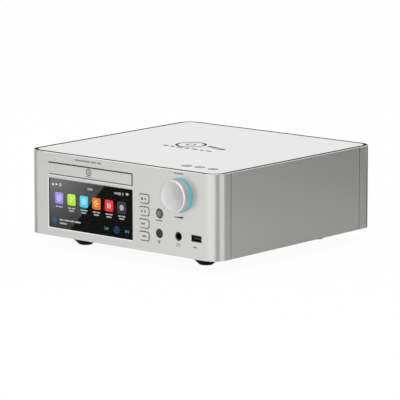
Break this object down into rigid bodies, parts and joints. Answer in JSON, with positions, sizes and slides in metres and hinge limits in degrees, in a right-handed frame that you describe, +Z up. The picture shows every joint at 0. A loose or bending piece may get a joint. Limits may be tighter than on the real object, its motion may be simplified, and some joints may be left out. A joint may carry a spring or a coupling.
{
  "type": "disc player",
  "caption": "Compact silver disc player: drawer over a dark screen, key column, large rotary knob with a lit ring, headphone and data sockets, conical feet.",
  "frame": {"origin": "below the middle of the overall box, on the surface that the feet stand on", "axes": "+Z up, -Y towards the front with the drawer and the knob, +X to the right as seen from the front"},
  "size_m": [0.284, 0.3014, 0.1113],
  "materials": {
    "case_silver": "satin anodised",
    "top_silver": "fine satin, paler than the walls",
    "lid_dark": "dark grey paint",
    "floor_steel": "black powder coat",
    "rear_black": "black paint",
    "foot_rubber": "matt",
    "screen_glass": "smooth, smoked",
    "screen_lit": "lit panel",
    "key_silver": "satin",
    "button_dark": "satin, dark",
    "eye_smoke": "smooth, smoked",
    "knob_silver": "turned, satin",
    "ring_cyan": "lit light guide",
    "socket_black": "matt",
    "socket_steel": "plated",
    "gold_plate": "gold-coloured plating",
    "board_green": "solder mask",
    "parts_black": "moulded packages and cans",
    "tray_black": "fine grain",
    "loader_grey": "moulded",
    "gear_white": "moulded",
    "belt_rubber": "matt",
    "motor_steel": "drawn can",
    "plain_steel": "zinc plated",
    "rod_chrome": "ground",
    "puck_black": "moulded",
    "winding": "wound and taped",
    "sink_black": "black anodised"
  },
  "bodies": {
    "case": {"front_panel": "case_silver", "side_panel_left": "case_silver", "side_panel_right": "case_silver", "rear_frame": "case_silver", "floor_plate": "floor_steel", "lid": "lid_dark", "top_plate": "top_silver", "feet": "foot_rubber", "foot_screws": "plain_steel", "corner_blocks": "sink_black", "screen_glass": "screen_glass", "screen_module": "screen_lit", "eye_window": "eye_smoke", "encoder": "plain_steel", "light_ring": "ring_cyan", "headphone_jack": "socket_black", "usb_socket": "socket_steel", "control_board": "board_green", "key_switches": "parts_black", "loader_chassis": "loader_grey", "loader_stands": "plain_steel", "drive_belt": "belt_rubber", "loading_motor": "motor_steel", "clamp_bridge": "plain_steel", "main_board": "board_green", "dac_board": "board_green", "power_board": "board_green", "standoffs": "gold_plate", "board_parts": "parts_black", "heat_sink": "sink_black", "transformer": "winding", "transformer_clamp": "plain_steel", "rear_plate": "rear_black", "machine_screws": "plain_steel", "phono_sockets": "gold_plate", "aerial_posts": "gold_plate", "mains_inlet": "socket_black", "switch_frame": "socket_black", "network_socket": "socket_steel"},
    "drawer": {"drawer_front": "case_silver", "tray": "tray_black"},
    "tray_gear": {"tray_gear": "gear_white"},
    "drive_wheel": {"drive_wheel": "gear_white"},
    "motor_pulley": {"motor_pulley": "gear_white"},
    "cradle": {"cradle": "loader_grey", "guide_rods": "rod_chrome", "spindle_motor": "motor_steel", "sled_motor": "motor_steel"},
    "turntable": {"turntable": "puck_black"},
    "sled": {"sled": "puck_black"},
    "sled_gear": {"sled_gear": "gear_white"},
    "clamp_puck": {"clamp_puck": "puck_black"},
    "knob": {"knob": "knob_silver", "encoder_shaft": "plain_steel"},
    "key_next": {"key_next": "key_silver"},
    "key_previous": {"key_previous": "key_silver"},
    "key_play": {"key_play": "key_silver"},
    "key_eject": {"key_eject": "key_silver"},
    "standby_button": {"standby_button": "button_dark"},
    "mains_rocker": {"mains_rocker": "socket_black"}
  },
  "joints": [
    {"name": "tray_slide", "type": "slide", "parent": "case", "child": "drawer", "axis": [0, -1, 0], "range_m": [0, 0.135]},
    {"name": "tray_gear_spin", "type": "hinge", "parent": "case", "child": "tray_gear", "pos_m": [-0.0849, -0.1093, 0.0837], "axis": [0, 0, 1], "range_deg": [0, 775]},
    {"name": "drive_wheel_spin", "type": "hinge", "parent": "case", "child": "drive_wheel", "pos_m": [-0.0589, -0.1093, 0.0756], "axis": [0, 0, 1], "range_deg": [-1742, 0]},
    {"name": "motor_pulley_spin", "type": "hinge", "parent": "case", "child": "motor_pulley", "pos_m": [-0.0244, -0.1093, 0.0756], "axis": [0, 0, 1], "range_deg": [-5948, 0]},
    {"name": "cradle_pivot", "type": "hinge", "parent": "case", "child": "cradle", "pos_m": [-0.045, 0.0237, 0.08125], "axis": [1, 0, 0], "range_deg": [0, 5]},
    {"name": "turntable_spin", "type": "hinge", "parent": "cradle", "child": "turntable", "pos_m": [-0.045, -0.0683, 0.0936], "axis": [0, 0, 1], "continuous": true},
    {"name": "clamp_spin", "type": "hinge", "parent": "case", "child": "clamp_puck", "pos_m": [-0.045, -0.0683, 0.0994], "axis": [0, 0, 1], "continuous": true},
    {"name": "sled_slide", "type": "slide", "parent": "cradle", "child": "sled", "axis": [0, 1, 0], "range_m": [0, 0.034]},
    {"name": "sled_gear_spin", "type": "hinge", "parent": "cradle", "child": "sled_gear", "pos_m": [-0.0095, -0.0343, 0.0832], "axis": [0, 0, 1], "range_deg": [-245, 0]},
    {"name": "knob_spin", "type": "hinge", "parent": "case", "child": "knob", "pos_m": [0.0879, -0.1393, 0.0832], "axis": [0, -1, 0], "continuous": true},
    {"name": "key_next_press", "type": "slide", "parent": "case", "child": "key_next", "axis": [0, 1, 0], "range_m": [0, 0.001], "stiffness_N_per_m": 800, "springref_m": -0.0005},
    {"name": "key_previous_press", "type": "slide", "parent": "case", "child": "key_previous", "axis": [0, 1, 0], "range_m": [0, 0.001], "stiffness_N_per_m": 800, "springref_m": -0.0005},
    {"name": "key_play_press", "type": "slide", "parent": "case", "child": "key_play", "axis": [0, 1, 0], "range_m": [0, 0.001], "stiffness_N_per_m": 800, "springref_m": -0.0005},
    {"name": "key_eject_press", "type": "slide", "parent": "case", "child": "key_eject", "axis": [0, 1, 0], "range_m": [0, 0.001], "stiffness_N_per_m": 800, "springref_m": -0.0005},
    {"name": "standby_button_press", "type": "slide", "parent": "case", "child": "standby_button", "axis": [0, 1, 0], "range_m": [0, 0.001], "stiffness_N_per_m": 800, "springref_m": -0.0005},
    {"name": "mains_rocker_tilt", "type": "hinge", "parent": "case", "child": "mains_rocker", "pos_m": [0.06, 0.1365, 0.0484], "axis": [-1, 0, 0], "range_deg": [0, 16]}
  ],
  "couplings": [
    {"joint": "tray_gear_spin", "follows": "tray_slide", "rad_per_m": 100},
    {"joint": "drive_wheel_spin", "follows": "tray_slide", "rad_per_m": -225},
    {"joint": "motor_pulley_spin", "follows": "tray_slide", "rad_per_m": -768.75},
    {"joint": "cradle_pivot", "follows": "tray_slide", "rad_per_m": 0.64641},
    {"joint": "clamp_spin", "follows": "turntable_spin", "ratio": 1},
    {"joint": "sled_gear_spin", "follows": "sled_slide", "rad_per_m": -125}
  ]
}
